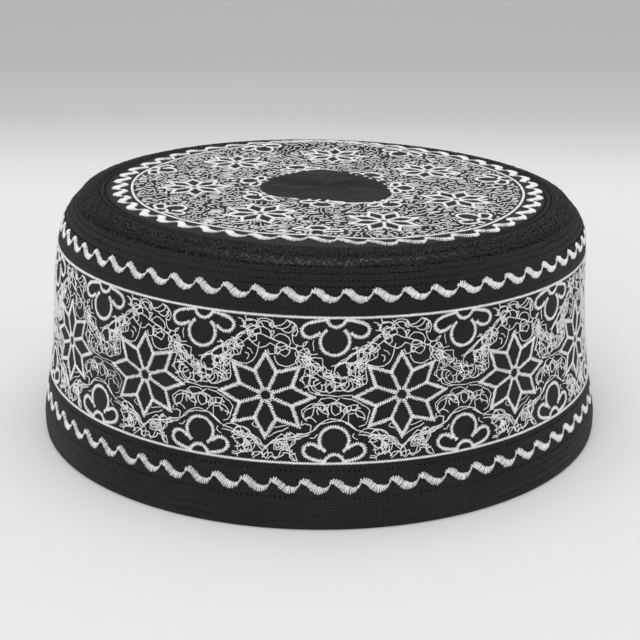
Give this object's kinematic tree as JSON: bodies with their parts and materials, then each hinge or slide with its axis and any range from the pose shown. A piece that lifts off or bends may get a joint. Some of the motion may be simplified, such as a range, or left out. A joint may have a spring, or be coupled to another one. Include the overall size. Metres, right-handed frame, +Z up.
{
  "type": "kufi",
  "caption": "Round brimless cap with an upright side band, a rounded shoulder, an overcast seam roll and a flat crown, hollow and open below.",
  "frame": {"origin": "centre of the hem's circle, in the plane that the cap stands on", "axes": "+Z up along the cap's axis, -Y toward the side that the picture shows, +X to the right of that view"},
  "size_m": [0.1884, 0.1884, 0.0795],
  "materials": {
    "side_cloth": "black close-woven cloth with stitched rows",
    "crown_cloth": "black close-woven cloth with fine stitched rings",
    "overcast_thread": "black thread with a slight gloss, overcast side by side",
    "white_thread": "white embroidery thread with a soft sheen"
  },
  "bodies": {
    "root": {"side_band": "side_cloth", "crown_top": "crown_cloth", "seam_roll": "overcast_thread"}
  },
  "joints": []
}
